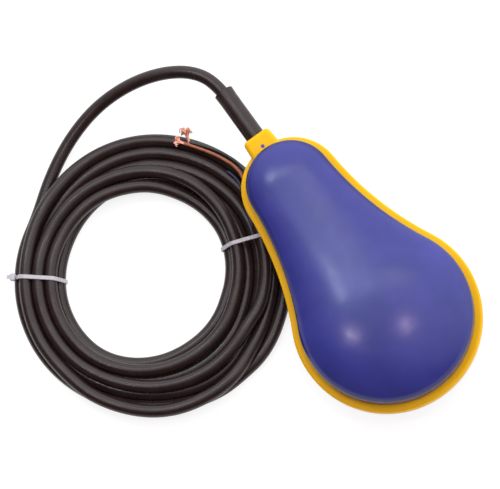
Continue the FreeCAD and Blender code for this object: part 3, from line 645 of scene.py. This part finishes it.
def add_box(build, out_x, height, box):
    """Adds a box outside the strap, from its place and size in mm, and returns its vertices."""
    (out, up), size = box
    made = bmesh.ops.create_cube(build, size=1.0)["verts"]
    bmesh.ops.scale(build, vec=[side * MM for side in size], verts=made)
    bmesh.ops.translate(build, vec=(out_x + out * MM, 0, height + up * MM), verts=made)
    return made


def add_strap(build, loop):
    """The strap: a flat band with chamfered edges and a ridge at every second step outside."""
    half = TIE_WIDTH / 2
    edge = TIE_EDGE
    inside, outside = -TIE_T / 2, TIE_T / 2
    profile = [(-half, inside + edge), (-half, outside - edge), (-half + edge, outside),
               (half - edge, outside), (half, outside - edge), (half, inside + edge),
               (half - edge, inside), (-half + edge, inside)]
    rings = []
    for i, (x, z) in enumerate(loop):
        ax, az = loop[i - 1]
        bx, bz = loop[(i + 1) % len(loop)]
        length = math.hypot(bx - ax, bz - az)
        nx, nz = (bz - az) / length, -(bx - ax) / length
        ridge = TIE_RIDGE * (i % 2)
        ring = []
        for across, height in profile:
            lift = height + (ridge if height == outside else 0.0)
            ring.append(build.verts.new((x + nx * lift, across, z + nz * lift)))
        rings.append(ring)
    for ring, after in zip(rings, rings[1:] + rings[:1]):
        for k in range(len(profile)):
            m = (k + 1) % len(profile)
            build.faces.new((ring[k], ring[m], after[m], after[k]))


def add_ratchet(build, loop):
    """The ratchet head near the strap's top outside, its mouth and the strap's cut tail."""
    out_x = max(x for x, z in loop)
    head_z = max(z for x, z in loop if x > out_x - CABLE_R) - TIE_HEAD_DROP
    out_x = max(x for x, z in loop if abs(z - head_z) < 1.0 * MM)
    head = add_box(build, out_x, head_z, HEAD_BOX)
    edges = list(dict.fromkeys(edge for vert in head for edge in vert.link_edges))
    bmesh.ops.bevel(build, geom=edges, offset=TIE_HEAD_ROUND, segments=3, affect="EDGES")
    add_box(build, out_x, head_z, MOUTH_BOX)
    add_box(build, out_x, head_z, TAIL_BOX)


def make_tie(side, line):
    """A cable tie: a toothed strap round the strands, its ratchet head and its cut tail."""
    loop = strap_loop(strands_at(TIE_DEG[side], line))
    build = bmesh.new()
    add_strap(build, loop)
    add_ratchet(build, loop)
    bmesh.ops.recalc_face_normals(build, faces=build.faces)
    mesh = bpy.data.meshes.new("tie_%s" % side)
    build.to_mesh(mesh)
    build.free()
    tie = link(bpy.data.objects.new("tie_%s" % side, mesh))
    middle = Vector((sum(x for x, z in loop) / len(loop), 0.0, 0.0))
    place = Matrix.Rotation(math.radians(TIE_DEG[side]), 4, "Z")
    turn = Matrix.Rotation(math.radians(TIE_TURN_DEG[side]), 4, "Z")
    tie.matrix_world = (Matrix.Translation(COIL_CENTRE) @ place
                        @ Matrix.Translation(middle) @ turn @ Matrix.Translation(-middle))
    dress(tie, "nylon_tie")
    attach(tie, BODY)
    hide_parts("cable_tie_%s" % side)
    return tie


def make_core(colour):
    """One stripped core, laid along the coil's outer strand."""
    points = [tuple(value * MM for value in point) for point in CORE_ROUTES[colour]]
    core = spline_piece("stripped_core_%s" % colour, points, CORE_R, 5, 10)
    dress(core, "core_%s" % colour)
    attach(core, BODY)
    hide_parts("core_%s" % colour)
    return core


def make_copper(name, start, aim, strands, reach, fray, seed):
    """The bare strands at a core's end, splayed into two lobes that curl back."""
    draw = random.Random(seed)
    curve = tube_curve(name, STRAND_R, 2, 8)
    forward = Vector(aim).normalized()
    across = forward.cross(Vector((0, 0, 1))).normalized()
    above = across.cross(forward)
    for index in range(strands):
        angle = index * STRAND_TURN
        spread = BUNDLE_R * math.sqrt((index + 0.5) / strands)
        side = (across * math.cos(angle) + above * math.sin(angle)) * spread
        length = reach * draw.uniform(0.7, 1.0)
        lobe = across * (fray * draw.uniform(0.5, 1.1) * (1 if index % 2 else -1))
        rise = above * fray * draw.uniform(0.0, 0.5)
        root = Vector(start)
        places = [root - forward * STRAND_ROOT + side]
        for far, wide, high in STRAND_CURL:
            places.append(root + forward * far * length + side + lobe * wide + rise * high)
        add_spline(curve, places)
    tuft = link(bpy.data.objects.new(name, curve))
    dress(tuft, "copper")
    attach(tuft, BODY)
    return tuft


def make_tufts():
    """The copper at the brown and black cores' ends."""
    brown = Vector(CORE_ROUTES["brown"][-1]) * MM
    black = Vector(CORE_ROUTES["black"][-1]) * MM
    tufts = [make_copper("copper_brown", brown, (-0.75, 1.0, 0.1),
                         strands=16, reach=6.0 * MM, fray=1.8 * MM, seed=5),
             make_copper("copper_black", black, (0.4, 1.0, 0.3),
                         strands=20, reach=9.5 * MM, fray=2.1 * MM, seed=11)]
    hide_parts("core_strands")
    return tufts


make_camera()
MATERIALS = make_materials()
cable = make_cable()
cable_length, cable_line = measure_curve(cable)
ties = [make_tie(side, cable_line) for side in TIE_DEG]
cores = [make_core(colour) for colour in CORE_ROUTES]
tufts = make_tufts()
make_lights()
make_floor()
dress_nodes()

bpy.context.scene.view_settings.view_transform = "Standard"
